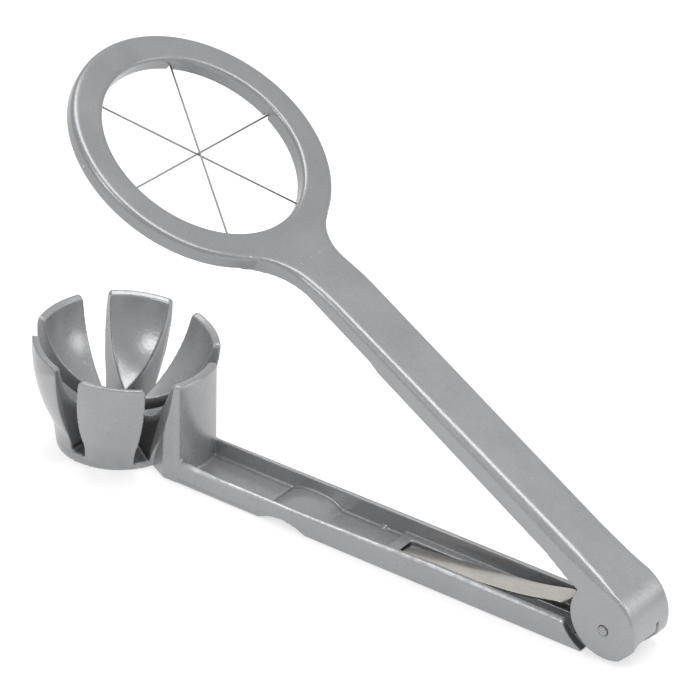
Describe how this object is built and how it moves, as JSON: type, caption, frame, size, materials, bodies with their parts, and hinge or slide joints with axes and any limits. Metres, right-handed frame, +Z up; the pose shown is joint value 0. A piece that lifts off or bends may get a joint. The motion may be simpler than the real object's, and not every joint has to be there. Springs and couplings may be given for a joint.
{
  "type": "egg wedger",
  "caption": "Hand-held egg wedger: a slotted petal cup on a channel arm, and a hinged handle whose ring carries crossing cutting wires that press through the egg and into the slots.",
  "frame": {"origin": "centre of the cup's foot on the table", "axes": "+X from the cup to the hinge, +Z up from the table, +Y to the left seen from the cup"},
  "size_m": [0.1921, 0.0726, 0.1156],
  "materials": {
    "casting": "satin metallic lacquer over a die casting",
    "spring": "semi-gloss spring steel",
    "wire": "drawn stainless wire",
    "pin": "ground pin"
  },
  "bodies": {
    "lower": {"lower_arm": "casting"},
    "upper": {"upper_arm": "casting", "hinge_pin": "pin", "wire_1": "wire", "wire_2": "wire", "wire_3": "wire", "anchor_1a": "pin", "anchor_1b": "pin", "anchor_2a": "pin", "anchor_2b": "pin", "anchor_3a": "pin", "anchor_3b": "pin"},
    "spring": {"leaf_spring": "spring"}
  },
  "joints": [
    {"name": "squeeze", "type": "hinge", "parent": "lower", "child": "upper", "pos_m": [0.161, 0, 0.0089], "axis": [0, -1, 0], "range_deg": [0, 32], "stiffness_Nm_per_rad": 0.3, "springref_deg": -20.05},
    {"name": "spring_flex", "type": "hinge", "parent": "lower", "child": "spring", "pos_m": [0.0916, 0, 0.00107], "axis": [0, 1, 0], "range_deg": [0, 3.85]}
  ],
  "couplings": [
    {"joint": "spring_flex", "follows": "squeeze", "ratio": 0.119}
  ]
}
